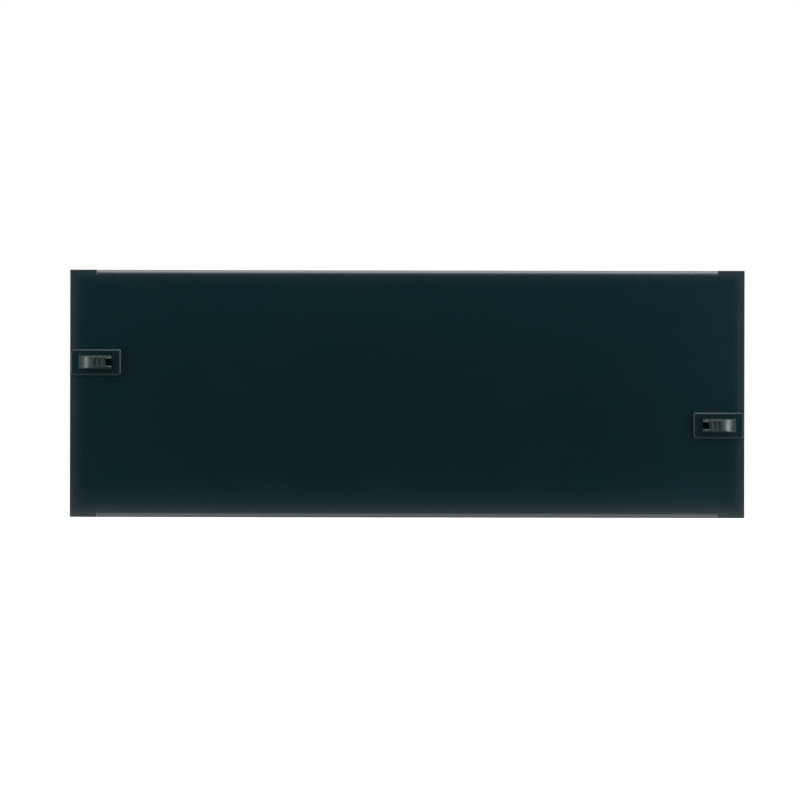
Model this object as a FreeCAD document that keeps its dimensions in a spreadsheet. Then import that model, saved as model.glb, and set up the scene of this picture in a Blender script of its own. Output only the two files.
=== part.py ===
import FreeCAD, Part
import math
import os
import re

import Sketcher
from FreeCAD import Placement, Rotation, Vector

# A four-unit blanking panel for a 19-inch rack: one folded steel sheet with a sprung slide latch near
# each end.  X runs along the panel, Z is up, and the panel faces -Y.  The origin is the panel's centre,
# on the plane of its back, which is the plane that lies on the rack's rails.
#
# Each latch is drawn in a frame of its own: X is the distance in from the panel's end, Y is the depth
# as above, and Z is the height above the latch's centre line.

os.makedirs("parts", exist_ok=True)
doc = FreeCAD.newDocument("BlankingPanel")

# ---------------------------------------------------------------- sizes, in millimetres

SIZES = [
    # the folded sheet
    ("panel_length", 482.6),
    ("panel_height", 177.0),
    ("sheet_thickness", 1.5),
    ("tab_length", 19.3),
    ("flange_depth", 12.0),
    ("bend_radius", 1.0),
    ("panel_corner", 0.6),
    ("flange_corner_cut", 3.0),
    ("relief_width", 0.25),
    ("relief_past_bend", 1.0),
    # the rack that it fits
    ("rack_hole", 9.5),
    ("rack_hole_inset", 8.75),
    ("latch_height", 22.225),
    ("rail_room", 2.4),
    # clearances and travel
    ("cutout_clearance", 0.15),
    ("hole_clearance", 0.2),
    ("slide_clearance", 0.2),
    ("slide_lift", 0.15),
    ("snap_play", 0.15),
    ("travel", 3.8),
    # latch housing
    ("bezel_start", 0.8),
    ("bezel_border", 3.1),
    ("bezel_height", 18.6),
    ("bezel_thickness", 2.2),
    ("bezel_chamfer", 1.0),
    ("bezel_front_corner", 0.2),
    ("boss_corner", 0.85),
    ("window_border", 3.0),
    ("rib_thickness", 1.3),
    ("rib_depth", 1.4),
    ("rib_lead", 0.4),
    ("collar_wall", 1.3),
    ("collar_overhang", 1.8),
    ("bridge_clearance", 0.3),
    ("guide_depth", 3.2),
    ("catch_inset", 3.4),
    ("catch_length", 3.5),
    ("catch_pitch", 7.0),
    ("catch_reach", 1.1),
    ("catch_depth", 1.5),
    # latch slide
    ("grip_cover", 0.6),
    ("grip_width", 9.6),
    ("grip_lip", 0.6),
    ("ramp_run", 11.4),
    ("ramp_height", 3.45),
    ("tip_height", 4.2),
    ("flare_run", 3.4),
    ("tip_cover", 0.2),
    ("tip_chamfer", 1.4),
    ("side_lean", 1.3),
    ("edge_round", 0.3),
    ("cheek_thickness", 2.3),
    ("field_depth", 1.45),
    ("ridge_inset", 2.3),
    ("ridge_pitch", 3.9),
    ("ridge_width", 1.2),
    ("ridge_height", 0.6),
    ("keel_length", 18.6),
    ("keel_back_gap", 0.1),
    ("hook_overlap", 1.8),
    ("hook_lip", 1.2),
    ("hook_nose", 4.0),
    ("nose_inset", 2.0),
    ("leg_length", 4.2),
    ("leg_slot", 0.5),
    ("leg_thickness", 0.7),
    ("leg_barb", 1.0),
    ("leg_barb_depth", 1.25),
    ("block_length", 2.4),
    ("block_gap", 0.8),
    # spring
    ("spring_diameter", 3.9),
    ("spring_wire", 0.5),
    ("spring_length", 10.9),
    ("spring_turns", 6.5),
    ("spring_side_gap", 0.15),
    ("spring_seat_gap", 0.05),
    ("spring_set_back", 0.65),
    ("peg_clearance", 0.25),
    ("peg_length", 2.0),
]

sizes = doc.addObject("Spreadsheet::Sheet", "sizes")
for row, (alias, value) in enumerate(SIZES, start=1):
    sizes.set(f"A{row}", alias)
    sizes.set(f"B{row}", str(value))
    sizes.setAlias(f"B{row}", alias)
doc.recompute()

# ---------------------------------------------------------------- places worked out from the sizes

# Each place is a sum of sizes and of the places above it.
PLACES = {}


def expression(text):
    """The text with each word swapped for its cell in the sheet, or for the place that it names."""
    words = re.compile(r"[a-z]\w*")
    return words.sub(lambda word: PLACES.get(word[0], f"sizes.{word[0]}"), str(text))


def place(name, text):
    PLACES[name] = f"({expression(text)})"


def number(text):
    """What an expression comes to with the sizes as they are."""
    return float(sizes.evalExpression(expression(text)))


# depths, along Y
place("sheet_front", "0 - sheet_thickness")
place("bezel_front", "sheet_front - bezel_thickness")
place("slide_seat", "bezel_front - slide_lift")
place("lip_front", "slide_seat - grip_lip")
place("ramp_top", "bezel_front - ramp_height")
place("tip_top", "bezel_front - tip_height")
place("field_floor", "tip_top + field_depth")
place("keel_back", "0 - keel_back_gap")
place("leg_catch", "guide_depth + snap_play")
place("leg_end", "leg_catch + leg_barb_depth")
place("collar_end", "leg_end + collar_overhang")
place("bridge_front", "leg_end + bridge_clearance")
place("nose_end", "rail_room + hook_nose")
place("spring_axis", "spring_set_back + spring_diameter / 2")
place("flange_inner", "panel_height / 2 - sheet_thickness")
place("outer_bend", "bend_radius + sheet_thickness")
place("seam", "panel_length / 2 - tab_length")

# corners
place("bezel_corner", "bezel_chamfer + bezel_front_corner")

# heights, along Z, from the latch's centre line
place("window_half", "spring_diameter / 2 + spring_side_gap + leg_thickness + slide_clearance")
place("keel_half", "window_half - slide_clearance")
place("leg_inner", "keel_half - leg_thickness")
place("barb_outer", "keel_half + leg_barb")
place("pocket_half", "window_half + leg_barb + slide_clearance")
place("boss_half", "pocket_half + collar_wall")
place("rib_outer", "rack_hole / 2 - hole_clearance")
place("rib_inner", "rib_outer - rib_thickness")
place("field_half", "grip_width / 2 - cheek_thickness")

# distances along X, from the panel's end
place("hole_outer", "rack_hole_inset - rack_hole / 2")
place("boss_start", "hole_outer + hole_clearance")
place("rib_end", "rack_hole_inset + rack_hole / 2 - hole_clearance")
place("window_start", "boss_start + window_border")
place("keel_start", "window_start + slide_clearance")
place("keel_end", "keel_start + keel_length")
place("window_end", "keel_end + travel + slide_clearance")
place("grip_start", "window_start - grip_cover")
place("ramp_end", "grip_start + ramp_run")
place("grip_end", "window_end + tip_cover")
place("flare_end", "grip_end - tip_chamfer")
place("flare_start", "flare_end - flare_run")
place("hook_start", "hole_outer - hook_overlap")
place("nose_start", "hole_outer + nose_inset")
place("shank_end", "rib_end - travel")
place("leg_start", "keel_end - leg_length")
place("block_end", "leg_start - leg_slot")
place("block_start", "block_end - block_length")
place("cavity_start", "block_start - block_gap")
place("collar_start", "cavity_start - collar_wall")
place("spring_start", "block_end + spring_seat_gap")
place("cavity_end", "spring_start + spring_length + spring_seat_gap")
place("boss_end", "cavity_end + collar_wall")
place("bezel_end", "boss_end + bezel_border")
place("peg_radius", "spring_diameter / 2 - spring_wire - peg_clearance")

# ---------------------------------------------------------------- drawing and feature helpers

Y_AXIS = Vector(0, 1, 0)
Z_AXIS = Vector(0, 0, 1)
END_SIDES = [(-1, "left"), (1, "right")]

# How far cutting shapes run past what they cut, and how near two levels count as one.
CUT_MARGIN = 1.0
LEVEL_TOLERANCE = 1e-4

# The points of a line or an arc, in the order in which a sketch numbers them.
POINTS = ["whole edge", "start", "end", "centre"]


def origin_part(body, role):
    return next(item for item in body.Origin.OriginFeatures if item.Role == role)


def new_sketch(body, role, name, offset="0"):
    """A sketch on one of the body's origin planes, moved along that plane's normal by the offset."""
    sketch = body.newObject("Sketcher::SketchObject", name)
    sketch.AttachmentSupport = [(origin_part(body, role), "")]
    sketch.MapMode = "FlatFace"
    sketch.setExpression("AttachmentOffset.Base.z", expression(offset))
    return sketch


def bind(sketch, kind, item, point, text):
    """Ties one coordinate of a point in the sketch to an expression."""
    constraint = Sketcher.Constraint(kind, item, POINTS.index(point), number(text))
    index = sketch.addConstraint(constraint)
    sketch.setExpression(f"Constraints[{index}]", expression(text))


def bind_point(sketch, item, point, across, up):
    bind(sketch, "DistanceX", item, point, across)
    bind(sketch, "DistanceY", item, point, up)


def join(sketch, kind, item, point, other, other_point):
    """Makes two ends coincide, or run on in one direction."""
    ends = item, POINTS.index(point), other, POINTS.index(other_point)
    sketch.addConstraint(Sketcher.Constraint(kind, *ends))


def bind_radius(sketch, item, text):
    index = sketch.addConstraint(Sketcher.Constraint("Radius", item, number(text)))
    sketch.setExpression(f"Constraints[{index}]", expression(text))


def draw_circle(sketch, across, up, radius):
    middle = Vector(number(across), number(up), 0)
    circle = sketch.addGeometry(Part.Circle(middle, Z_AXIS, number(radius)), False)
    bind_point(sketch, circle, "centre", across, up)
    bind_radius(sketch, circle, radius)
    return circle


def draw_polygon(sketch, across, up, radius, sides):
    """A regular polygon whose corners lie on a construction circle, with one side upright."""
    circle = draw_circle(sketch, across, up, radius)
    sketch.setConstruction(circle, True)
    middle = Vector(number(across), number(up), 0)
    angles = [2 * math.pi * (corner - 0.5) / sides for corner in range(sides)]
    spokes = [Vector(math.cos(angle), math.sin(angle), 0) for angle in angles]
    points = [middle + spoke * number(radius) for spoke in spokes]
    lines = []
    for here in range(sides):
        edge = Part.LineSegment(points[here], points[(here + 1) % sides])
        lines.append(sketch.addGeometry(edge, False))
    for here, line in enumerate(lines):
        join(sketch, "Coincident", lines[here - 1], "end", line, "start")
        on_circle = Sketcher.Constraint("PointOnObject", line, POINTS.index("start"), circle)
        sketch.addConstraint(on_circle)
        if here > 0:
            sketch.addConstraint(Sketcher.Constraint("Equal", lines[0], line))
    sketch.addConstraint(Sketcher.Constraint("Vertical", lines[0]))


def corner_arc(before, corner, after, radius):
    """The arc that rounds a square corner, its centre's two signs, and whether it turns left."""
    into = (corner - before).normalize()
    out = (after - corner).normalize()
    middle = corner - into * radius + out * radius
    turns_left = into.cross(out).z > 0
    first, last = (corner - into * radius, corner + out * radius)
    if not turns_left:
        first, last = last, first
    start_angle = math.atan2(first.y - middle.y, first.x - middle.x)
    end_angle = math.atan2(last.y - middle.y, last.x - middle.x)
    arc = Part.ArcOfCircle(Part.Circle(middle, Z_AXIS, radius), start_angle, end_angle)
    signs = ["+" if side > 0 else "-" for side in (middle.x - corner.x, middle.y - corner.y)]
    return arc, signs, turns_left


def draw_outline(sketch, corners):
    """A closed outline of straight edges.  A corner is (across, up), or (across, up, radius) where two
    edges along the sketch's axes meet in an arc."""
    points = [Vector(number(corner[0]), number(corner[1]), 0) for corner in corners]
    count = len(corners)
    lines = []
    for here in range(count):
        edge = Part.LineSegment(points[here], points[(here + 1) % count])
        lines.append(sketch.addGeometry(edge, False))
    for here, corner in enumerate(corners):
        line_in, line_out = lines[here - 1], lines[here]
        if len(corner) == 2:
            join(sketch, "Coincident", line_in, "end", line_out, "start")
            bind_point(sketch, line_out, "start", *corner)
            continue
        across, up, radius = corner
        after = points[(here + 1) % count]
        shape, signs, turns_left = corner_arc(points[here - 1], points[here], after, number(radius))
        arc = sketch.addGeometry(shape, False)
        near, far = ("start", "end") if turns_left else ("end", "start")
        join(sketch, "Tangent", line_in, "end", arc, near)
        join(sketch, "Tangent", line_out, "start", arc, far)
        bind_point(sketch, arc, "centre", f"{across} {signs[0]} {radius}", f"{up} {signs[1]} {radius}")
        bind_radius(sketch, arc, radius)


def draw_rectangle(sketch, left, right, low, high, radius=None):
    ends = [(left, low), (right, low), (right, high), (left, high)]
    if radius is not None:
        ends = [end + (radius,) for end in ends]
    draw_outline(sketch, ends)


def raise_from(body, sketch, name, length, both_ways=False, backwards=False):
    """Pads a sketch, along its normal unless told otherwise."""
    pad = body.newObject("PartDesign::Pad", name)
    pad.Profile = sketch
    pad.SideType = "Symmetric" if both_ways else "One side"
    pad.Reversed = backwards
    pad.setExpression("Length", expression(length))
    return pad


def cut_from(body, sketch, name, length, both_ways=False, backwards=False):
    """Pockets a sketch, against its normal unless told otherwise, and makes sure that it cut."""
    doc.recompute()
    volume = body.Shape.Volume
    pocket = body.newObject("PartDesign::Pocket", name)
    pocket.Profile = sketch
    pocket.SideType = "Symmetric" if both_ways else "One side"
    pocket.Reversed = backwards
    pocket.setExpression("Length", expression(length))
    doc.recompute()
    if not body.Shape.Volume < volume:
        raise RuntimeError(f"{body.Label}: {name} cut nothing")
    return pocket


def edges_where(feature, wanted):
    """The names of the feature's edges that meet a test."""
    doc.recompute()
    edges = enumerate(feature.Shape.Edges, start=1)
    return [f"Edge{index}" for index, edge in edges if wanted(edge)]


def dress(body, kind, name, feature, wanted, size_property, text):
    """A fillet or chamfer on the edges of a feature that meet a test."""
    names = edges_where(feature, wanted)
    if not names:
        raise RuntimeError(f"{body.Label}: {name} found no edge")
    trim = body.newObject(f"PartDesign::{kind}", name)
    trim.Base = (feature, names)
    trim.setExpression(size_property, expression(text))
    doc.recompute()
    return trim


def lies_at(edge, axis, text):
    """Whether the whole of an edge lies at one value of an axis."""
    box = edge.BoundBox
    low, high = getattr(box, f"{axis}Min"), getattr(box, f"{axis}Max")
    level = number(text)
    return max(abs(low - level), abs(high - level)) < LEVEL_TOLERANCE


def runs_along(edge, axis):
    """Whether an edge is straight and points along an axis."""
    if not isinstance(edge.Curve, Part.Line):
        return False
    return edge.Curve.Direction.cross(axis).Length < LEVEL_TOLERANCE


# ---------------------------------------------------------------- the folded sheet

def side_of(sign, text):
    """An expression on the panel's right half, or its mirror on the left."""
    return text if sign > 0 else f"0 - ({text})"


def make_panel():
    """The sheet: a channel section over the flanged length, flat tabs at both ends, slits that part
    the tabs from the bends, and a cut-out for each latch."""
    body = doc.addObject("PartDesign::Body", "panel")
    body.Label = "panel"

    channel = new_sketch(body, "YZ_Plane", "channel_section")
    draw_outline(channel, [
        ("sheet_front", "0 - panel_height / 2", "outer_bend"),
        ("flange_depth", "0 - panel_height / 2"),
        ("flange_depth", "0 - flange_inner"),
        ("0", "0 - flange_inner", "bend_radius"),
        ("0", "flange_inner", "bend_radius"),
        ("flange_depth", "flange_inner"),
        ("flange_depth", "panel_height / 2"),
        ("sheet_front", "panel_height / 2", "outer_bend"),
    ])
    raise_from(body, channel, "channel", "2 * seam", both_ways=True)

    tabs = new_sketch(body, "XZ_Plane", "tab_outlines")
    for sign, _ in END_SIDES:
        inner, outer = side_of(sign, "seam"), side_of(sign, "panel_length / 2")
        draw_outline(tabs, [
            (inner, "0 - panel_height / 2"),
            (outer, "0 - panel_height / 2", "panel_corner"),
            (outer, "panel_height / 2", "panel_corner"),
            (inner, "panel_height / 2"),
        ])
    tab_pad = raise_from(body, tabs, "end_tabs", "sheet_thickness")
    # The seam between each tab and the channel stays, because only the tab lies on a rail.
    tab_pad.Refine = False

    slits = new_sketch(body, "XZ_Plane", "relief_outlines")
    for sign, _ in END_SIDES:
        inner, outer = side_of(sign, "seam"), side_of(sign, "seam + relief_width")
        for up in (-1, 1):
            root = side_of(up, "panel_height / 2 - outer_bend - relief_past_bend")
            past_rim = side_of(up, f"panel_height / 2 + {CUT_MARGIN}")
            draw_rectangle(slits, inner, outer, root, past_rim)
    relief = cut_from(body, slits, "relief_slits", "sheet_thickness", backwards=True)
    relief.Refine = False

    holes = new_sketch(body, "XZ_Plane", "cutout_outlines")
    place("cutout_half", "boss_half + cutout_clearance")
    for sign, _ in END_SIDES:
        outer = side_of(sign, "panel_length / 2 - boss_start + cutout_clearance")
        inner = side_of(sign, "panel_length / 2 - boss_end - cutout_clearance")
        centre = side_of(-sign, "latch_height")
        low, high = f"{centre} - cutout_half", f"{centre} + cutout_half"
        draw_rectangle(holes, inner, outer, low, high, "boss_corner + cutout_clearance")
    cutouts = cut_from(body, holes, "latch_cutouts", "sheet_thickness", backwards=True)
    cutouts.Refine = False

    def free_flange_corner(edge):
        return (
            runs_along(edge, Z_AXIS)
            and lies_at(edge, "Y", "flange_depth")
            and edge.Length < 2 * number("sheet_thickness")
        )

    corners = dress(body, "Chamfer", "flange_corners", cutouts, free_flange_corner,
                    "Size", "flange_corner_cut")
    corners.Refine = False
    return body


# ---------------------------------------------------------------- latch pieces, in the latch's frame

def make_housing(side):
    """The moulded housing: a bezel in front of the sheet, a boss through it, ribs that sit in the
    rack's hole, and a collar behind that guides the slide and holds the spring."""
    body = doc.addObject("PartDesign::Body", f"{side}_latch_housing")

    outline = new_sketch(body, "XZ_Plane", f"{side}_bezel_outline", "0 - sheet_front")
    draw_rectangle(outline, "bezel_start", "bezel_end",
                   "0 - bezel_height / 2", "bezel_height / 2", "bezel_corner")
    bezel = raise_from(body, outline, f"{side}_bezel", "bezel_thickness")
    trimmed = dress(body, "Chamfer", f"{side}_bezel_edge", bezel,
                    lambda edge: lies_at(edge, "Y", "bezel_front"), "Size", "bezel_chamfer")

    passage = new_sketch(body, "XZ_Plane", f"{side}_boss_outline")
    draw_rectangle(passage, "boss_start", "boss_end", "0 - boss_half", "boss_half", "boss_corner")
    raise_from(body, passage, f"{side}_boss", "sheet_thickness")

    ribs = new_sketch(body, "YZ_Plane", f"{side}_rib_sections", "boss_start")
    for sign in (-1, 1):
        draw_outline(ribs, [
            ("0", side_of(sign, "rib_inner")),
            ("0", side_of(sign, "rib_outer")),
            ("rib_depth - rib_lead", side_of(sign, "rib_outer")),
            ("rib_depth", side_of(sign, "rib_outer - rib_lead")),
            ("rib_depth", side_of(sign, "rib_inner")),
        ])
    raise_from(body, ribs, f"{side}_ribs", "rib_end - boss_start")

    collar = new_sketch(body, "XZ_Plane", f"{side}_collar_outline")
    draw_rectangle(collar, "collar_start", "boss_end", "0 - boss_half", "boss_half", "boss_corner")
    raise_from(body, collar, f"{side}_collar", "collar_end", backwards=True)

    catches = new_sketch(body, "YZ_Plane", f"{side}_catch_sections", "collar_start + catch_inset")
    for sign in (-1, 1):
        draw_outline(catches, [
            ("snap_play", side_of(sign, f"boss_half - {CUT_MARGIN} / 2")),
            ("snap_play", side_of(sign, "boss_half + catch_reach")),
            ("snap_play + catch_depth", side_of(sign, "boss_half")),
            ("snap_play + catch_depth", side_of(sign, f"boss_half - {CUT_MARGIN} / 2")),
        ])
    catch = raise_from(body, catches, f"{side}_catch", "catch_length")
    row_of_catches = body.newObject("PartDesign::LinearPattern", f"{side}_catches")
    row_of_catches.Originals = [catch]
    row_of_catches.Direction = (origin_part(body, "X_Axis"), [""])
    row_of_catches.Occurrences = 2
    row_of_catches.setExpression("Length", expression("catch_pitch"))
    body.Tip = row_of_catches

    window = new_sketch(body, "XZ_Plane", f"{side}_window_outline")
    draw_rectangle(window, "window_start", "window_end", "0 - window_half", "window_half")
    cut_from(body, window, f"{side}_window", f"0 - bezel_front + {CUT_MARGIN}", backwards=True)

    cavity = new_sketch(body, "XZ_Plane", f"{side}_cavity_outline")
    draw_rectangle(cavity, "cavity_start", "cavity_end", "0 - window_half", "window_half")
    cut_from(body, cavity, f"{side}_cavity", f"collar_end + {CUT_MARGIN}")

    pocket = new_sketch(body, "XZ_Plane", f"{side}_pocket_outline", "0 - guide_depth")
    draw_rectangle(pocket, "cavity_start", "cavity_end", "0 - pocket_half", "pocket_half")
    cut_from(body, pocket, f"{side}_pocket", f"collar_end - guide_depth + {CUT_MARGIN}")

    # A bridge behind the window keeps the spring in.
    bridge = new_sketch(body, "XZ_Plane", f"{side}_bridge_outline", "0 - collar_end")
    draw_rectangle(bridge, "collar_start", "boss_end", "0 - window_half", "window_half")
    raise_from(body, bridge, f"{side}_bridge", "collar_end - bridge_front")

    peg = new_sketch(body, "YZ_Plane", f"{side}_housing_peg_outline", "cavity_end")
    draw_circle(peg, "spring_axis", "0", "peg_radius")
    raise_from(body, peg, f"{side}_housing_peg", "peg_length", backwards=True)
    return body


def draw_grip_profile(sketch):
    """The grip's side: a thin lip, a ramp of two equal arcs that meet at its middle, a level crest, a
    flare that stops the thumb, and a chamfered tip."""
    lip = Vector(number("grip_start"), number("lip_front"), 0)
    crest = Vector(number("ramp_end"), number("ramp_top"), 0)
    run, rise = crest.x - lip.x, lip.y - crest.y
    radius = (run * run + rise * rise) / (4 * rise)
    middle = (lip + crest) * 0.5
    hollow_centre = lip - Vector(0, radius, 0)
    round_centre = crest + Vector(0, radius, 0)

    def angle(centre, point):
        return math.atan2(point.y - centre.y, point.x - centre.x)

    def arc(centre, first, last):
        circle = Part.Circle(centre, Z_AXIS, (first - centre).Length)
        return Part.ArcOfCircle(circle, angle(centre, first), angle(centre, last))

    hollow = sketch.addGeometry(arc(hollow_centre, middle, lip), False)
    bulge = sketch.addGeometry(arc(round_centre, middle, crest), False)
    join(sketch, "Tangent", hollow, "start", bulge, "start")
    sketch.addConstraint(Sketcher.Constraint("Equal", hollow, bulge))
    bind_point(sketch, hollow, "end", "grip_start", "lip_front")
    bind_point(sketch, bulge, "end", "ramp_end", "ramp_top")
    bind(sketch, "DistanceX", hollow, "centre", "grip_start")
    bind(sketch, "DistanceX", bulge, "centre", "ramp_end")

    flare_foot = Vector(number("flare_start"), number("ramp_top"), 0)
    flare_top = Vector(number("flare_end"), number("tip_top"), 0)
    run, rise = flare_top.x - flare_foot.x, flare_foot.y - flare_top.y
    flare_centre = flare_foot - Vector(0, (run * run + rise * rise) / (2 * rise), 0)
    flare = sketch.addGeometry(arc(flare_centre, flare_top, flare_foot), False)
    bind_point(sketch, flare, "start", "flare_end", "tip_top")
    bind_point(sketch, flare, "end", "flare_start", "ramp_top")
    bind(sketch, "DistanceX", flare, "centre", "flare_start")

    crest_line = sketch.addGeometry(Part.LineSegment(crest, flare_foot), False)
    join(sketch, "Coincident", bulge, "end", crest_line, "start")
    join(sketch, "Coincident", crest_line, "end", flare, "end")

    rest = [
        ("flare_end", "tip_top"),
        ("grip_end", "tip_top + tip_chamfer"),
        ("grip_end", "slide_seat"),
        ("grip_start", "slide_seat"),
        ("grip_start", "lip_front"),
    ]
    points = [Vector(number(across), number(up), 0) for across, up in rest]
    lines = [sketch.addGeometry(Part.LineSegment(*pair), False) for pair in zip(points, points[1:])]
    for line_in, line_out, corner in zip(lines, lines[1:], rest[1:]):
        join(sketch, "Coincident", line_in, "end", line_out, "start")
        bind_point(sketch, line_out, "start", *corner)
    join(sketch, "Coincident", flare, "start", lines[0], "start")
    join(sketch, "Coincident", lines[-1], "end", hollow, "end")


def is_grip_rim(edge):
    """Whether an edge runs along the rim between one of the grip's sides and its ramp, crest or tip."""
    box = edge.BoundBox
    runs_in = box.XLength > box.ZLength
    above_lip = box.YMax < number("lip_front") + LEVEL_TOLERANCE
    on_a_side = min(abs(box.ZMin), abs(box.ZMax)) > number("field_half")
    return runs_in and above_lip and on_a_side


def make_slide(side):
    """The moulded slide: a grip in front of the bezel, and a keel through the window that carries the
    hook, the spring's block and two snap legs."""
    body = doc.addObject("PartDesign::Body", f"{side}_latch_slide")

    profile = new_sketch(body, "XY_Plane", f"{side}_grip_profile")
    draw_grip_profile(profile)
    raise_from(body, profile, f"{side}_grip", "grip_width", both_ways=True)

    # The grip's long sides lean in from its base to its crest.
    lean = new_sketch(body, "YZ_Plane", f"{side}_lean_sections")
    for sign in (-1, 1):
        draw_outline(lean, [
            ("slide_seat", side_of(sign, "grip_width / 2")),
            ("tip_top", side_of(sign, "grip_width / 2 - side_lean")),
            (f"tip_top - {CUT_MARGIN}", side_of(sign, "grip_width / 2 - side_lean")),
            (f"tip_top - {CUT_MARGIN}", side_of(sign, f"grip_width / 2 + {CUT_MARGIN}")),
            ("slide_seat", side_of(sign, f"grip_width / 2 + {CUT_MARGIN}")),
        ])
    leaned = cut_from(body, lean, f"{side}_lean", f"grip_end + {CUT_MARGIN}", backwards=True)
    dress(body, "Fillet", f"{side}_grip_edges", leaned, is_grip_rim, "Radius", "edge_round")

    field = new_sketch(body, "XY_Plane", f"{side}_field_profile")
    draw_rectangle(field, "ramp_end", f"grip_end + {CUT_MARGIN}",
                   f"tip_top - {CUT_MARGIN}", "field_floor")
    cut_from(body, field, f"{side}_field", "2 * field_half", both_ways=True)

    ridges = new_sketch(body, "XY_Plane", f"{side}_ridge_profiles")
    for middle in ("ramp_end + ridge_inset", "ramp_end + ridge_inset + ridge_pitch"):
        draw_outline(ridges, [
            (f"{middle} - ridge_width / 2", "field_floor"),
            (f"{middle} - ridge_width / 4", "field_floor - ridge_height"),
            (f"{middle} + ridge_width / 4", "field_floor - ridge_height"),
            (f"{middle} + ridge_width / 2", "field_floor"),
        ])
    raise_from(body, ridges, f"{side}_ridges", "2 * field_half", both_ways=True)

    fork = new_sketch(body, "XY_Plane", f"{side}_fork_profile")
    draw_rectangle(fork, "keel_end", f"grip_end + {CUT_MARGIN}",
                   f"tip_top - {CUT_MARGIN}", f"slide_seat + {CUT_MARGIN}")
    cut_from(body, fork, f"{side}_fork", "2 * field_half", both_ways=True)

    keel = new_sketch(body, "XY_Plane", f"{side}_keel_profile")
    draw_outline(keel, [
        ("keel_start", "slide_seat"),
        ("keel_start", "rail_room"),
        ("hook_start", "rail_room"),
        ("hook_start", "rail_room + hook_lip"),
        ("nose_start", "nose_end"),
        ("shank_end", "nose_end"),
        ("shank_end", "keel_back"),
        ("block_start", "keel_back"),
        ("block_start", "leg_end"),
        ("block_end", "leg_end"),
        ("block_end", "keel_back"),
        ("keel_end", "keel_back"),
        ("keel_end", "slide_seat"),
    ])
    raise_from(body, keel, f"{side}_keel", "2 * keel_half", both_ways=True)

    leg = new_sketch(body, "YZ_Plane", f"{side}_leg_section", "leg_start")
    draw_outline(leg, [
        ("keel_back", "leg_inner"),
        ("keel_back", "keel_half"),
        ("leg_catch", "keel_half"),
        ("leg_catch", "barb_outer"),
        ("leg_catch + leg_barb_depth / 3", "barb_outer"),
        ("leg_end", "keel_half"),
        ("leg_end", "leg_inner"),
    ])
    one_leg = raise_from(body, leg, f"{side}_leg", "leg_length")
    legs = body.newObject("PartDesign::Mirrored", f"{side}_legs")
    legs.Originals = [one_leg]
    legs.MirrorPlane = (origin_part(body, "XY_Plane"), [""])
    body.Tip = legs

    peg = new_sketch(body, "YZ_Plane", f"{side}_slide_peg_outline", "block_end")
    draw_circle(peg, "spring_axis", "0", "peg_radius")
    raise_from(body, peg, f"{side}_slide_peg", "peg_length")
    return body


# The wire's section is drawn with five sides, which keeps the coil light.
WIRE_SIDES = 5


def make_spring(side):
    """The compression spring, wound about its own X axis from its seat on the slide."""
    body = doc.addObject("PartDesign::Body", f"{side}_latch_spring")
    section = new_sketch(body, "XY_Plane", f"{side}_wire_section")
    coil_radius = "spring_diameter / 2 - spring_wire / 2"
    draw_polygon(section, "spring_wire / 2", coil_radius, "spring_wire / 2", WIRE_SIDES)
    coil = body.newObject("PartDesign::AdditiveHelix", f"{side}_coil")
    coil.Profile = section
    coil.ReferenceAxis = (origin_part(body, "X_Axis"), [""])
    coil.Mode = "height-turns-angle"
    coil.setExpression("Height", expression("spring_length - spring_wire"))
    coil.setExpression("Turns", expression("spring_turns"))
    return body


def set_in_place(body, sign, start="0", depth="0"):
    """Puts a latch piece at its end of the panel: as drawn at the left, half a turn about Y at the
    right."""
    angle = 0 if sign < 0 else 180
    body.Placement = Placement(Vector(0, 0, 0), Rotation(Y_AXIS, angle))
    body.setExpression("Placement.Base.x", expression(side_of(sign, f"panel_length / 2 - ({start})")))
    body.setExpression("Placement.Base.y", expression(depth))
    body.setExpression("Placement.Base.z", expression(side_of(-sign, "latch_height")))


parts = [make_panel()]
for sign, side in END_SIDES:
    housing = make_housing(side)
    slide = make_slide(side)
    spring = make_spring(side)
    set_in_place(housing, sign)
    set_in_place(slide, sign)
    set_in_place(spring, sign, "spring_start", "spring_axis")
    parts += [housing, slide, spring]

# ---------------------------------------------------------------- checks and files

doc.recompute()
failed = [item.Name for item in doc.Objects if {"Invalid", "Error"} & set(item.State)]
if failed:
    raise RuntimeError(f"not computed: {failed}")
for part in parts:
    if part.Shape.isNull() or not part.Shape.isValid() or len(part.Shape.Solids) != 1:
        raise RuntimeError(f"{part.Label} is not one sound solid")
for part in parts:
    part.Shape.exportStep(f"parts/{part.Label}.step")
    print(part.Label, round(part.Shape.Volume, 1), "mm3")
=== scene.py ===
import bpy
import numpy as np
from mathutils import Euler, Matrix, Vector


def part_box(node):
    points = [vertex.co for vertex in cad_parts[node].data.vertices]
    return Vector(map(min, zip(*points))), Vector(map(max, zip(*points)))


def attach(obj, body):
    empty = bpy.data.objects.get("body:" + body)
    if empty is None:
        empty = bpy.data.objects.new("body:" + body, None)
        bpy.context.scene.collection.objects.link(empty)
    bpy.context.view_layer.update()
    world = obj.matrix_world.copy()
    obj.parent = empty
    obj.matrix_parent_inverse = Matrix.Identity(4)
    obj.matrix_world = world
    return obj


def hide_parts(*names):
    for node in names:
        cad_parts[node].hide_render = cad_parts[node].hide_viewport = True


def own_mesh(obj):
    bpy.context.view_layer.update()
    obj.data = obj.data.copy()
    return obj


# A rack blanking panel with two sprung slide latches.  X runs along the panel, Z is up and the panel
# faces -Y.  Places and sizes are in metres, angles in degrees, and colours in the renderer's linear values.

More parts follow.
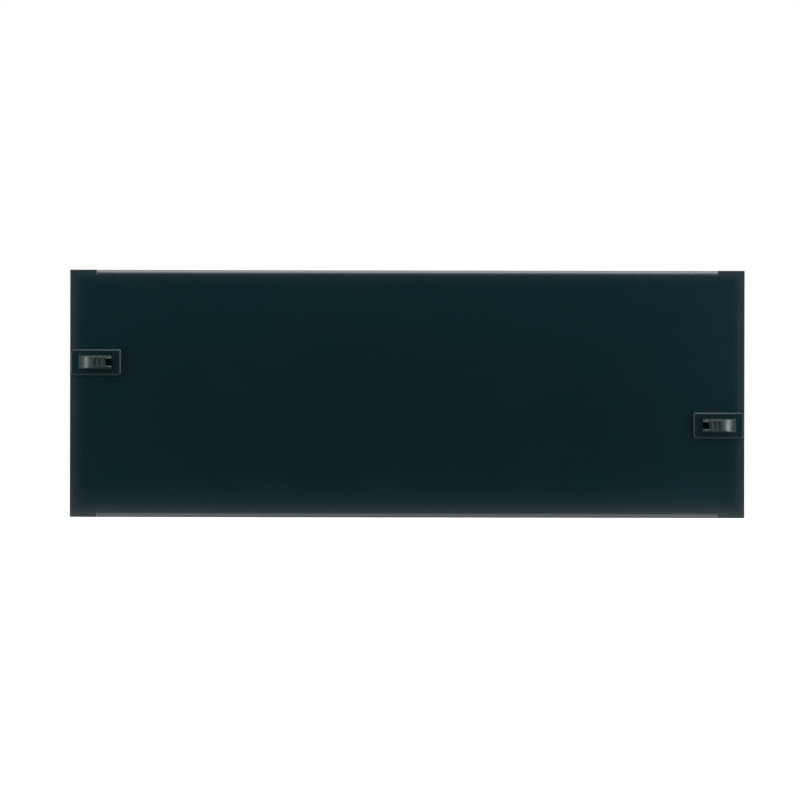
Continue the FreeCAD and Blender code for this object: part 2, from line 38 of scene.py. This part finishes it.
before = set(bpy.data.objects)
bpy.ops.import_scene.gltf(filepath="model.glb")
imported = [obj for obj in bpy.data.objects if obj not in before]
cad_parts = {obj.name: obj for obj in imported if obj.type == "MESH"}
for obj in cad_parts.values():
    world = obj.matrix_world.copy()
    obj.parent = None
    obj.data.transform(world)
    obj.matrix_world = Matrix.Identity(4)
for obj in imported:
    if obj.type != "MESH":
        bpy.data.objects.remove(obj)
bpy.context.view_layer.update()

# ---------------------------------------------------------------- sizes

# The latch springs, each wound about an axis along X between its seats on the slide and the housing.
SPRING_LENGTH = 0.0109
SPRING_DIAMETER = 0.0039
WIRE_DIAMETER = 0.0005
SPRING_TURNS = 6.5
SPRING_SEAT_X = 0.20905
SPRING_AXIS_Y = 0.0026
LATCH_HEIGHT = 0.022225

# Turns that lie closed at each end of a spring, and turns over which its pitch then opens.
CLOSED_TURNS = 0.9
OPENING_TURNS = 0.35

# Points along a spring's wire and around it, and the length of wire to one unit of its map.
POINTS_ALONG_WIRE = 600
POINTS_AROUND_WIRE = 16
WIRE_MAP_UNIT = 0.01

# How far the painted sheen along the coat's outline reaches in from the sheet's outline.
RIM_WIDTH = 0.011

# Where the sheet's two folds end along it, and the radius of their outside.
FOLD_END = 0.222
FOLD_RADIUS = 0.0025

# The painted highlight on a fold begins and is whole at these distances from the sheet's edge, in fold
# radii.
HIGHLIGHT_FROM = 1.5
HIGHLIGHT_WHOLE = 0.4

# ---------------------------------------------------------------- colours and strengths of the finishes, the painted sheen and the painted highlight

COAT_DEEP = (0.0007, 0.0108, 0.0132, 1)
COAT_PALE = (0.0013, 0.0126, 0.0152, 1)
# Painted sheen: a neutral grey laid over the coat in a band along the sheet's outline.
PAINTED_RIM_SHEEN = (0.10, 0.10, 0.10, 1)
# Painted highlight: a pale grey laid along the outside of the two folds.
PAINTED_FOLD_HIGHLIGHT = (0.135, 0.150, 0.165, 1)
COAT_ON_EDGES = (0.030, 0.045, 0.047, 1)
WIRE_BARE = (0.60, 0.60, 0.61, 1)
WIRE_OILED = (0.42, 0.40, 0.36, 1)
DUST = (0.32, 0.31, 0.29, 1)
WHITE = (1, 1, 1, 1)

# The most of each colour that is laid over the one below it.
RIM_SHEEN_MOST = 0.14
FOLD_HIGHLIGHT_MOST = 0.5
COAT_EDGE_MOST = 0.35
PLASTIC_EDGE_MOST = 0.5

# Roughness from the least marked place to the most.  Plastic has its own least value for each moulding,
# is rougher by up to a fixed step where it is marked, and is smoother where it is rubbed.
COAT_ROUGHNESS = (0.27, 0.38)
WIRE_ROUGHNESS = (0.22, 0.42)
MARKED_ROUGHER = 0.10
RUBBED_SMOOTHER = 0.08

# How many times the edge wear is strengthened.
EDGE_GAIN = 6.0

# How many times as coarse as the grain its swell is.
SWELL_COARSENESS = 8.0

# ---------------------------------------------------------------- values of the stage

# The panel stands on its lower fold.
FLOOR_HEIGHT = -0.0885
FLOOR_REACH = 4.0
FLOOR_GREY = (0.78, 0.78, 0.78, 1)

# Gloss passes from the dark studio to the floor's own glow between these depths.
DARK_FLOOR_END = -0.09
BRIGHT_FLOOR_START = -0.02

# The distances from the panel's middle at which the floor's glow begins and is whole, and that glow.
GLOW_START = 0.10
GLOW_WHOLE = 0.65
GLOW_MOST = 0.60

# How bright the studio is straight in front of the panel, on every side of that, and behind.
STUDIO_FRONT = 0.01
STUDIO_SIDES = 0.42
BACKDROP = 0.8

# The Y part of a direction up to which the opening is dark, and from which the studio and the backdrop
# are whole.
OPENING_END = -0.85
STUDIO_WHOLE = -0.60
BACKDROP_WHOLE = 0.25

# The camera stands in front of the panel and looks along +Y.  Its lens and sensor are in millimetres.
CAMERA_PLACE = (-0.00516, -1.353, -0.00438)
CAMERA_TILT = 90.0
CAMERA_ROLL = -0.11
CAMERA_LENS = 85.0
CAMERA_SENSOR = 36.0


# ---------------------------------------------------------------- node helpers

def feed(tree, socket, value):
    """Gives an input a value, or joins it to the output of another node."""
    if isinstance(value, bpy.types.NodeSocket):
        tree.links.new(value, socket)
    else:
        socket.default_value = value


def feed_all(tree, node, inputs):
    """Feeds several inputs of a node, each by its name or number."""
    for label, value in inputs.items():
        feed(tree, node.inputs[label], value)


def add_node(tree, kind, name, inputs=None, **settings):
    """A named node with its settings, and the inputs that are fed."""
    made = tree.nodes.new(f"ShaderNode{kind}")
    made.name = made.label = name
    for key, value in settings.items():
        setattr(made, key, value)
    feed_all(tree, made, inputs or {})
    return made


def maths(tree, name, operation, first, second=0.0, third=0.0, clamp=False):
    """The output of a Math node."""
    inputs = {0: first, 1: second, 2: third}
    return add_node(tree, "Math", name, inputs, operation=operation, use_clamp=clamp).outputs["Value"]


def ramp(tree, name, value, start, end, first=0.0, last=1.0, **settings):
    """A number that goes from first to last while the value goes from start to end, and holds beyond."""
    inputs = {"Value": value, "From Min": start, "From Max": end, "To Min": first, "To Max": last}
    return add_node(tree, "MapRange", name, inputs, **settings).outputs["Result"]


def part_of(tree, name, vector, axis):
    """One of the three numbers of a vector, by its axis."""
    return add_node(tree, "SeparateXYZ", name, {"Vector": vector}).outputs[axis]


def blend(tree, name, share, first, second):
    """Between two colours, by a share from 0 to 1."""
    made = add_node(tree, "Mix", name, data_type="RGBA")
    for label, value in {"Factor": share, "A": first, "B": second}.items():
        feed(tree, next(s for s in made.inputs if s.name == label and s.enabled), value)
    return next(s for s in made.outputs if s.enabled)


def start_group(name, inputs, outputs):
    """An empty node group with its sockets: the group, what it is given, and what it puts out."""
    group = bpy.data.node_groups.new(name, "ShaderNodeTree")
    for label, kind, default in inputs:
        socket = group.interface.new_socket(label, in_out="INPUT", socket_type=f"NodeSocket{kind}")
        socket.default_value = default
    for label, kind in outputs:
        group.interface.new_socket(label, in_out="OUTPUT", socket_type=f"NodeSocket{kind}")
    given = group.nodes.new("NodeGroupInput")
    result = group.nodes.new("NodeGroupOutput")
    return group, given.outputs, result


def use_group(tree, group, name, inputs):
    """The outputs of a node that stands for a group, with its own values."""
    return add_node(tree, "Group", name, inputs, node_tree=group).outputs


def start_material(name):
    """A material with its Principled shader, and the surface's own place in metres."""
    material = bpy.data.materials.new(name)
    material.use_nodes = True
    tree = material.node_tree
    tree.nodes.clear()
    shader = add_node(tree, "BsdfPrincipled", f"{name}_shader")
    add_node(tree, "OutputMaterial", "surface_output", {"Surface": shader.outputs["BSDF"]})
    position = add_node(tree, "TexCoord", "place_on_piece").outputs["Object"]
    return material, tree, shader, position


def add_object(name, data):
    """A new object in the scene, at the origin."""
    made = bpy.data.objects.new(name, data)
    bpy.context.scene.collection.objects.link(made)
    return made


# ---------------------------------------------------------------- effects that several finishes share

def make_fine_grain():
    """A stipple of small rounded bumps on a slower swell.  Height is the noise of the grain's size, plus
    the given share of a coarser noise, and tone is that coarser noise alone."""
    group, given, result = start_group(
        "fine_grain",
        [("Position", "Vector", (0, 0, 0)), ("Grain Size", "Float", 0.0003), ("Swell", "Float", 0.5)],
        [("Height", "Float"), ("Tone", "Float")],
    )
    fineness = maths(group, "grains_per_metre", "DIVIDE", 1.0, given["Grain Size"])
    slow = maths(group, "swells_per_metre", "DIVIDE", fineness, SWELL_COARSENESS)
    grain = add_node(group, "TexNoise", "grain", {
        "Vector": given["Position"], "Scale": fineness, "Detail": 2.0, "Roughness": 0.55}).outputs["Fac"]
    swell = add_node(group, "TexNoise", "swell", {
        "Vector": given["Position"], "Scale": slow, "Detail": 1.0, "Roughness": 0.4}).outputs["Fac"]
    height = maths(group, "grain_on_swell", "MULTIPLY_ADD", swell, given["Swell"], grain)
    feed_all(group, result, {"Height": height, "Tone": swell})
    return group


def make_edge_wear():
    """How near a point is to an outer or inner edge: one less the cosine between the surface's normal and
    the normal rounded over the given radius, times patchy noise and a gain.  The rounded normal is put
    out as well."""
    group, given, result = start_group(
        "edge_wear",
        [("Position", "Vector", (0, 0, 0)), ("Radius", "Float", 0.0003), ("Patch Size", "Float", 0.004)],
        [("Edge", "Float"), ("Rounded Normal", "Vector")],
    )
    rounded = add_node(group, "Bevel", "rounded_edges", {"Radius": given["Radius"]}, samples=6)
    rounded = rounded.outputs["Normal"]
    flat = add_node(group, "NewGeometry", "surface").outputs["Normal"]
    cosine = add_node(group, "VectorMath", "turn_of_normal", {0: rounded, 1: flat},
                      operation="DOT_PRODUCT").outputs["Value"]
    turned = maths(group, "turned_away", "SUBTRACT", 1.0, cosine, clamp=True)
    patches = maths(group, "patches_per_metre", "DIVIDE", 1.0, given["Patch Size"])
    noise = add_node(group, "TexNoise", "rubbed_patches", {
        "Vector": given["Position"], "Scale": patches, "Detail": 3.0}).outputs["Fac"]
    patchy = maths(group, "patchy_edge", "MULTIPLY", turned, noise)
    edge = maths(group, "edge_share", "MULTIPLY", patchy, EDGE_GAIN, clamp=True)
    feed_all(group, result, {"Edge": edge, "Rounded Normal": rounded})
    return group


def make_settled_dust():
    """A film of dust: the upward share of the normal, times cloudy noise, times the given amount."""
    group, given, result = start_group(
        "settled_dust",
        [("Position", "Vector", (0, 0, 0)), ("Amount", "Float", 0.2)],
        [("Dust", "Float")],
    )
    normal = add_node(group, "NewGeometry", "surface").outputs["Normal"]
    upward = part_of(group, "way_up", normal, "Z")
    clouds = add_node(group, "TexNoise", "clouds", {
        "Vector": given["Position"], "Scale": 160.0, "Detail": 4.0, "Roughness": 0.6}).outputs["Fac"]
    lying = maths(group, "lying_film", "MULTIPLY", upward, clouds, clamp=True)
    film = maths(group, "film_share", "MULTIPLY", lying, given["Amount"], clamp=True)
    feed_all(group, result, {"Dust": film})
    return group


def make_handling_marks():
    """Patches where hands have been: a cloud noise times a second one that is drawn out along X."""
    group, given, result = start_group(
        "handling_marks",
        [("Position", "Vector", (0, 0, 0)), ("Mark Size", "Float", 0.03)],
        [("Marks", "Float")],
    )
    marks = maths(group, "marks_per_metre", "DIVIDE", 1.0, given["Mark Size"])
    broad = add_node(group, "TexNoise", "broad_marks", {
        "Vector": given["Position"], "Scale": marks, "Detail": 3.0, "Distortion": 0.4}).outputs["Fac"]
    drawn = add_node(group, "Mapping", "drawn_out", {
        "Vector": given["Position"], "Scale": (1.0, 3.0, 4.0)}).outputs["Vector"]
    wiped = add_node(group, "TexNoise", "wiped_marks", {
        "Vector": drawn, "Scale": marks, "Detail": 4.0}).outputs["Fac"]
    both = maths(group, "both_marks", "MULTIPLY", broad, wiped)
    feed_all(group, result, {"Marks": both})
    return group


FINE_GRAIN = make_fine_grain()
EDGE_WEAR = make_edge_wear()
SETTLED_DUST = make_settled_dust()
HANDLING_MARKS = make_handling_marks()


# ---------------------------------------------------------------- finishes

def rim_sheen_share(tree, position, low, high):
    """Where the painted sheen lies near the outline of the sheet's front: the square of one less the
    distance to the nearest side over the rim's width.  Nothing behind the sheet."""
    across, depth, up = add_node(tree, "SeparateXYZ", "place_on_sheet", {"Vector": position}).outputs
    from_end = maths(tree, "from_end", "SUBTRACT", high.x, maths(tree, "along", "ABSOLUTE", across))
    from_side = maths(tree, "from_side", "SUBTRACT", high.z, maths(tree, "height", "ABSOLUTE", up))
    nearest = maths(tree, "from_outline", "MINIMUM", from_end, from_side)
    near = ramp(tree, "near_outline", nearest, 0.0, RIM_WIDTH, 1.0, 0.0)
    squared = maths(tree, "rim_falloff", "POWER", near, 2.0)
    in_front = ramp(tree, "on_the_front", depth, low.y / 2, 0.0, 1.0, 0.0)
    return maths(tree, "rim_sheen_share", "MULTIPLY", squared, in_front)


def fold_highlight_share(tree, position, low, high):
    """Where the painted highlight lies round the sheet's two folds: a smooth step of its height, from 0 on
    the flat just before a fold to 1 near its crest, that falls away evenly with depth towards the flanges
    behind.
    Nothing on the tabs, which aren't folded."""
    across, depth, up = add_node(tree, "SeparateXYZ", "place_on_fold", {"Vector": position}).outputs
    height = maths(tree, "height_on_fold", "ABSOLUTE", up)
    round_fold = ramp(tree, "round_the_fold", height, high.z - HIGHLIGHT_FROM * FOLD_RADIUS,
                      high.z - HIGHLIGHT_WHOLE * FOLD_RADIUS, interpolation_type="SMOOTHSTEP")
    along = maths(tree, "along_fold", "ABSOLUTE", across)
    within = maths(tree, "between_tabs", "LESS_THAN", along, FOLD_END)
    in_front = ramp(tree, "before_the_flange", depth, low.y / 2, FOLD_RADIUS / 2, 1.0, 0.0)
    on_front = maths(tree, "on_fold_front", "MULTIPLY", within, in_front)
    return maths(tree, "fold_highlight_share", "MULTIPLY", round_fold, on_front)


def make_powder_coat():
    """Satin powder coat, a very dark blue-green: fine stipple on a slight orange peel, a painted sheen
    towards the sheet's outline, a painted highlight along the folds, and a thin coat on the edges.  Each
    colour is laid over the last by its own share."""
    material, tree, shader, position = start_material("dark_powder_coat")
    grain = use_group(tree, FINE_GRAIN, "coat_stipple", {
        "Position": position, "Grain Size": 0.00035, "Swell": 1.4})
    wear = use_group(tree, EDGE_WEAR, "coat_edges", {
        "Position": position, "Radius": 0.0004, "Patch Size": 0.006})
    dust = use_group(tree, SETTLED_DUST, "coat_dust", {"Position": position, "Amount": 0.05})
    marks = use_group(tree, HANDLING_MARKS, "coat_marks", {"Position": position, "Mark Size": 0.05})
    low_corner, high_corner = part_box("panel")

    colour = blend(tree, "mottled_coat", grain["Tone"], COAT_DEEP, COAT_PALE)
    # Painted sheen: a neutral grey laid over the coat near its outline.
    rim = rim_sheen_share(tree, position, low_corner, high_corner)
    rim = maths(tree, "rim_sheen_strength", "MULTIPLY", rim, RIM_SHEEN_MOST)
    colour = blend(tree, "painted_sheen_at_rim", rim, colour, PAINTED_RIM_SHEEN)
    # Painted highlight: a pale grey laid along the outside of the two folds.
    fold = fold_highlight_share(tree, position, low_corner, high_corner)
    fold = maths(tree, "fold_highlight_strength", "MULTIPLY", fold, FOLD_HIGHLIGHT_MOST)
    colour = blend(tree, "painted_highlight_on_folds", fold, colour, PAINTED_FOLD_HIGHLIGHT)
    edge = maths(tree, "thin_coat", "MULTIPLY", wear["Edge"], COAT_EDGE_MOST)
    colour = blend(tree, "thin_on_edges", edge, colour, COAT_ON_EDGES)
    colour = blend(tree, "dusty_coat", dust["Dust"], colour, DUST)
    roughness = ramp(tree, "coat_roughness", marks["Marks"], 0.0, 1.0, *COAT_ROUGHNESS)
    relief = add_node(tree, "Bump", "coat_relief", {
        "Strength": 0.35, "Distance": 0.00003, "Height": grain["Height"],
        "Normal": wear["Rounded Normal"]}).outputs["Normal"]
    feed_all(tree, shader, {
        "Base Color": colour, "Specular IOR Level": 0.35, "Roughness": roughness, "Normal": relief})
    return material


def make_moulded_plastic(name, deep, pale, rubbed, grain_size, grain_depth, roughness, specular):
    """Moulded black plastic: spark-eroded grain, slow flow tones, and edges that hands have rubbed.  Its
    roughness rises with the handling marks, and falls with the edge wear."""
    material, tree, shader, position = start_material(name)
    grain = use_group(tree, FINE_GRAIN, "mould_grain", {
        "Position": position, "Grain Size": grain_size, "Swell": 0.6})
    wear = use_group(tree, EDGE_WEAR, "mould_edges", {
        "Position": position, "Radius": 0.00018, "Patch Size": 0.003})
    dust = use_group(tree, SETTLED_DUST, "mould_dust", {"Position": position, "Amount": 0.06})
    marks = use_group(tree, HANDLING_MARKS, "mould_marks", {"Position": position, "Mark Size": 0.012})

    colour = blend(tree, "flow_tones", marks["Marks"], deep, pale)
    edge = maths(tree, "rubbed_share", "MULTIPLY", wear["Edge"], PLASTIC_EDGE_MOST)
    colour = blend(tree, "rubbed_edges", edge, colour, rubbed)
    colour = blend(tree, "dusty_plastic", dust["Dust"], colour, DUST)
    marked = ramp(tree, "marked_roughness", marks["Marks"], 0.0, 1.0, roughness, roughness + MARKED_ROUGHER)
    smoothed = maths(tree, "rubbed_roughness", "MULTIPLY_ADD", wear["Edge"], -RUBBED_SMOOTHER, marked)
    relief = add_node(tree, "Bump", "mould_relief", {
        "Strength": 0.4, "Distance": grain_depth, "Height": grain["Height"],
        "Normal": wear["Rounded Normal"]}).outputs["Normal"]
    feed_all(tree, shader, {
        "Base Color": colour, "Roughness": smoothed, "Specular IOR Level": specular, "Normal": relief})
    return material


def make_spring_steel():
    """Bright drawn wire: scratches that run along the wire, and a faint tint of oil.  The piece's UV map
    runs along the wire in U and round it in V."""
    material, tree, shader, position = start_material("drawn_spring_wire")
    along = add_node(tree, "UVMap", "along_the_wire", uv_map="wire").outputs["UV"]
    stretched = add_node(tree, "Mapping", "drawn_lines", {
        "Vector": along, "Scale": (6.0, 40.0, 1.0)}).outputs["Vector"]
    lines = add_node(tree, "TexNoise", "draw_marks", {
        "Vector": stretched, "Scale": 1.0, "Detail": 4.0, "Roughness": 0.6}).outputs["Fac"]
    oil = use_group(tree, HANDLING_MARKS, "oil_film", {"Position": position, "Mark Size": 0.002})
    tint = blend(tree, "oily_wire", oil["Marks"], WIRE_BARE, WIRE_OILED)
    roughness = ramp(tree, "wire_roughness", lines, 0.0, 1.0, *WIRE_ROUGHNESS)
    relief = add_node(tree, "Bump", "draw_relief", {
        "Strength": 0.3, "Distance": 0.00001, "Height": lines}).outputs["Normal"]
    feed_all(tree, shader, {
        "Base Color": tint, "Metallic": 1.0, "Roughness": roughness, "Normal": relief})
    return material


POWDER_COAT = make_powder_coat()
HOUSING_PLASTIC = make_moulded_plastic(
    "moulded_housing_plastic", deep=(0.0005, 0.0100, 0.0126, 1), pale=(0.0011, 0.0126, 0.0152, 1),
    rubbed=(0.007, 0.022, 0.025, 1), grain_size=0.00022, grain_depth=0.00002, roughness=0.33,
    specular=0.25)
SLIDE_PLASTIC = make_moulded_plastic(
    "moulded_slide_plastic", deep=(0.0095, 0.0205, 0.0225, 1), pale=(0.0165, 0.0310, 0.0330, 1),
    rubbed=(0.045, 0.062, 0.065, 1), grain_size=0.00016, grain_depth=0.000012, roughness=0.40,
    specular=0.5)
SPRING_STEEL = make_spring_steel()


def finish_node(name, material):
    """Gives a carried-over node its finish."""
    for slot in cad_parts[name].material_slots:
        slot.material = material


finish_node("panel", POWDER_COAT)
for side in ("left", "right"):
    finish_node(f"{side}_latch_housing", HOUSING_PLASTIC)
    finish_node(f"{side}_latch_slide", SLIDE_PLASTIC)


# ---------------------------------------------------------------- springs

def coil_advance(share):
    """How far along the axis the wire has come at a share of its turns, from 0 to the spring's length less
    one wire's thickness.  The rate is one wire's thickness a turn in the closed turns at both ends, and
    even between them, with a smooth change; the advance is the running sum of the rate."""
    ease = OPENING_TURNS / SPRING_TURNS
    closed = CLOSED_TURNS / SPRING_TURNS
    opening = np.clip((share - closed) / ease + 0.5, 0, 1)
    closing = np.clip((1 - share - closed) / ease + 0.5, 0, 1)
    active = (opening * opening * (3 - 2 * opening)) * (closing * closing * (3 - 2 * closing))
    opened = np.cumsum(active * np.diff(share, prepend=share[0]))
    free_room = SPRING_LENGTH - WIRE_DIAMETER - WIRE_DIAMETER * SPRING_TURNS
    return WIRE_DIAMETER * SPRING_TURNS * share + free_room * opened / opened[-1]


def coil_surface(start, direction):
    """A round wire wound about the X axis, from a starting point and on along X in a direction of 1 or -1.
    The path's point is the coil's radius times (cos t, sin t) in Y and Z, with the advance in X; the
    surface is that point plus the wire's radius times the cosine of an angle outward and its sine across
    the path.  The radius shrinks to nothing over a quarter circle at both ends, and each end is closed in
    one point."""
    along, around = POINTS_ALONG_WIRE, POINTS_AROUND_WIRE
    share = np.linspace(0, 1, along)
    turn = 2 * np.pi * SPRING_TURNS * share
    coil_radius = (SPRING_DIAMETER - WIRE_DIAMETER) / 2
    wire_radius = WIRE_DIAMETER / 2

    outward = np.stack([np.zeros(along), np.cos(turn), np.sin(turn)], axis=1)
    path = coil_radius * outward
    path[:, 0] = wire_radius + coil_advance(share)
    tangent = np.gradient(path, axis=0)
    tangent /= np.linalg.norm(tangent, axis=1, keepdims=True)
    across = np.cross(tangent, outward)

    length = np.concatenate([[0], np.cumsum(np.linalg.norm(np.diff(path, axis=0), axis=1))])
    from_end = np.clip(np.minimum(length, length[-1] - length) / wire_radius, 0, 1)
    thickness = wire_radius * np.sqrt(1 - (1 - from_end) ** 2)

    angle = 2 * np.pi * np.arange(around) / around
    ring = (np.cos(angle)[None, :, None] * outward[:, None, :]
            + np.sin(angle)[None, :, None] * across[:, None, :])
    points = path[:, None, :] + thickness[:, None, None] * ring
    vertices = np.concatenate([points[1:-1].reshape(-1, 3), path[:1], path[-1:]])
    vertices = vertices * [direction, 1, direction] + start

    rows = along - 2
    row, column = np.meshgrid(np.arange(rows - 1), np.arange(around), indexing="ij")
    beside = (column + 1) % around
    quads = np.stack([row * around + column, (row + 1) * around + column,
                      (row + 1) * around + beside, row * around + beside], axis=-1).reshape(-1, 4)
    column = np.arange(around)
    beside = (column + 1) % around
    first_pole, last_pole = rows * around, rows * around + 1
    last_row = (rows - 1) * around
    first_cap = np.stack([np.full(around, first_pole), column, beside], axis=1)
    last_cap = np.stack([np.full(around, last_pole), last_row + beside, last_row + column], axis=1)
    wire_length = np.concatenate([np.repeat(length[1:-1], around), length[:1], length[-1:]])
    round_wire = np.concatenate([np.tile(np.arange(around) / around, rows), [0, 0]])
    return vertices, quads, np.concatenate([first_cap, last_cap]), wire_length, round_wire


def make_spring(side):
    """One latch spring, in place of its plain solid.  It is wound inwards, from its end on the slide to
    its seat on the housing, and its map holds the length along the wire and the way round it."""
    sign = -1 if side == "left" else 1
    start = (sign * (SPRING_SEAT_X + SPRING_LENGTH), SPRING_AXIS_Y, -sign * LATCH_HEIGHT)
    vertices, quads, caps, wire_length, round_wire = coil_surface(start, -sign)
    mesh = bpy.data.meshes.new(f"{side}_coil_spring")
    mesh.from_pydata(vertices, [], quads.tolist() + caps.tolist())
    corner_vertex = np.empty(len(mesh.loops), dtype=np.int32)
    mesh.loops.foreach_get("vertex_index", corner_vertex)
    wire_map = mesh.uv_layers.new(name="wire")
    pairs = np.stack([wire_length[corner_vertex] / WIRE_MAP_UNIT, round_wire[corner_vertex]], axis=1)
    wire_map.data.foreach_set("uv", pairs.ravel())
    mesh.polygons.foreach_set("use_smooth", np.ones(len(mesh.polygons), dtype=bool))
    mesh.update()
    mesh.materials.append(SPRING_STEEL)
    spring = add_object(f"{side}_coil_spring", mesh)
    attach(spring, "panel")
    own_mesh(spring)
    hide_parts(f"{side}_latch_spring")


make_spring("left")
make_spring("right")


# ---------------------------------------------------------------- stage, light and camera

def make_floor():
    """A wide pale floor, level with the panel's lower fold.  The lamps light it and it takes the panel's
    shadow; to the camera it also glows, more with distance from the panel, so that it is white where no
    shadow falls.  Gloss sees a dark studio instead of the floor that lies in front."""
    reach = FLOOR_REACH
    corners = [(-reach, -reach, FLOOR_HEIGHT), (reach, -reach, FLOOR_HEIGHT),
               (reach, reach, FLOOR_HEIGHT), (-reach, reach, FLOOR_HEIGHT)]
    mesh = bpy.data.meshes.new("floor")
    mesh.from_pydata(corners, [], [(0, 1, 2, 3)])
    floor = add_object("floor", mesh)

    material, tree, shader, position = start_material("pale_floor")
    rays = add_node(tree, "LightPath", "rays").outputs
    depth = part_of(tree, "depth_of_floor", position, "Y")
    behind = ramp(tree, "behind_the_panel", depth, DARK_FLOOR_END, BRIGHT_FLOOR_START)
    level = add_node(tree, "Mapping", "on_the_floor", {
        "Vector": position, "Scale": (1, 1, 0)}).outputs["Vector"]
    away = add_node(tree, "VectorMath", "distance", {0: level}, operation="LENGTH").outputs["Value"]
    needed = ramp(tree, "glow_with_distance", away, GLOW_START, GLOW_WHOLE, 0.0, GLOW_MOST)
    mirrored = maths(tree, "seen_in_gloss", "MULTIPLY", rays["Is Glossy Ray"], behind)
    seen = maths(tree, "seen_straight", "ADD", rays["Is Camera Ray"], rays["Is Transmission Ray"])
    either = maths(tree, "seen", "ADD", seen, mirrored, clamp=True)
    glow = maths(tree, "floor_glow", "MULTIPLY", either, needed)
    feed_all(tree, shader, {
        "Base Color": FLOOR_GREY, "Roughness": 0.9, "Specular IOR Level": 0.0, "Emission Color": WHITE,
        "Emission Strength": glow})
    in_front = maths(tree, "in_front_of_the_panel", "SUBTRACT", 1.0, behind)
    dimmed = maths(tree, "dim_in_gloss", "MULTIPLY", rays["Is Glossy Ray"], in_front)
    dim_floor = add_node(tree, "Emission", "dim_studio_floor", {"Color": WHITE, "Strength": STUDIO_FRONT})
    mixed = add_node(tree, "MixShader", "floor_or_dim_studio", {
        0: dimmed, 1: shader.outputs["BSDF"], 2: dim_floor.outputs["Emission"]})
    feed_all(tree, tree.nodes["surface_output"], {"Surface": mixed.outputs["Shader"]})
    mesh.materials.append(material)


def make_surroundings():
    """A white backdrop behind the panel, a softly lit studio on every side, and a dark opening straight in
    front.  Studio and backdrop change evenly with the Y part of a direction, and the brighter of the two
    holds.  To the camera the surroundings are white all round."""
    world = bpy.data.worlds.new("surroundings")
    bpy.context.scene.world = world
    world.use_nodes = True
    tree = world.node_tree
    tree.nodes.clear()
    direction = add_node(tree, "TexCoord", "direction").outputs["Generated"]
    depth = part_of(tree, "depth_of_direction", direction, "Y")
    studio = ramp(tree, "studio", depth, OPENING_END, STUDIO_WHOLE, STUDIO_FRONT, STUDIO_SIDES)
    backdrop = ramp(tree, "backdrop", depth, 0.0, BACKDROP_WHOLE, 0.0, BACKDROP)
    around = maths(tree, "studio_or_backdrop", "MAXIMUM", studio, backdrop)
    rays = add_node(tree, "LightPath", "rays").outputs
    seen = maths(tree, "seen_straight", "ADD", rays["Is Camera Ray"], rays["Is Transmission Ray"])
    strength = maths(tree, "white_where_seen", "MAXIMUM", seen, around)
    background = add_node(tree, "Background", "surroundings", {"Color": WHITE, "Strength": strength})
    add_node(tree, "OutputWorld", "world_output", {"Surface": background.outputs["Background"]})


def make_lamp(name, place, aim, size, watts, mirrored=True):
    """A rectangular soft lamp that faces the point it is aimed at, and that the camera doesn't see.  One
    that isn't mirrored lights colour alone, and shows in no gloss."""
    lamp = bpy.data.lights.new(name, "AREA")
    lamp.shape = "RECTANGLE"
    lamp.size, lamp.size_y = size
    lamp.energy = watts
    holder = add_object(name, lamp)
    holder.location = place
    holder.rotation_euler = (Vector(aim) - Vector(place)).to_track_quat("-Z", "Y").to_euler()
    holder.visible_camera = False
    holder.visible_glossy = mirrored


def make_camera():
    """The scene's camera.  Its tilt is from looking straight down, so that a right angle makes it level,
    and its roll is about its line of sight."""
    data = bpy.data.cameras.new("camera")
    data.lens = CAMERA_LENS
    data.sensor_width = CAMERA_SENSOR
    camera = add_object("camera", data)
    camera.location = CAMERA_PLACE
    camera.rotation_euler = Euler((np.radians(CAMERA_TILT), np.radians(CAMERA_ROLL), 0.0))
    bpy.context.scene.camera = camera


make_floor()
make_surroundings()
make_lamp("left_lamp", place=(-0.38, -0.06, 0.02), aim=(-0.22, 0, 0), size=(0.05, 0.16), watts=0.33)
make_lamp("right_lamp", place=(0.42, -0.10, 0.02), aim=(0.23, 0, 0.02), size=(0.08, 0.16), watts=0.62)
make_lamp("overhead_lamp", place=(0.02, -0.05, 0.42), aim=(0.02, -0.05, 0), size=(0.62, 0.12), watts=1.3)
make_lamp("upper_lamp", place=(0, -0.08, 0.20), aim=(0, 0, 0.06), size=(0.60, 0.05), watts=0.42)
make_lamp("foot_lamp", place=(0, -0.022, -0.0845), aim=(0, 0, -0.0765), size=(0.46, 0.006),
          watts=0.022, mirrored=False)
make_lamp("key_lamp", place=(0, -0.36, 0.46), aim=(0, 0, 0.02), size=(0.80, 0.25), watts=1.75)
make_camera()

bpy.context.scene.view_settings.view_transform = "Standard"
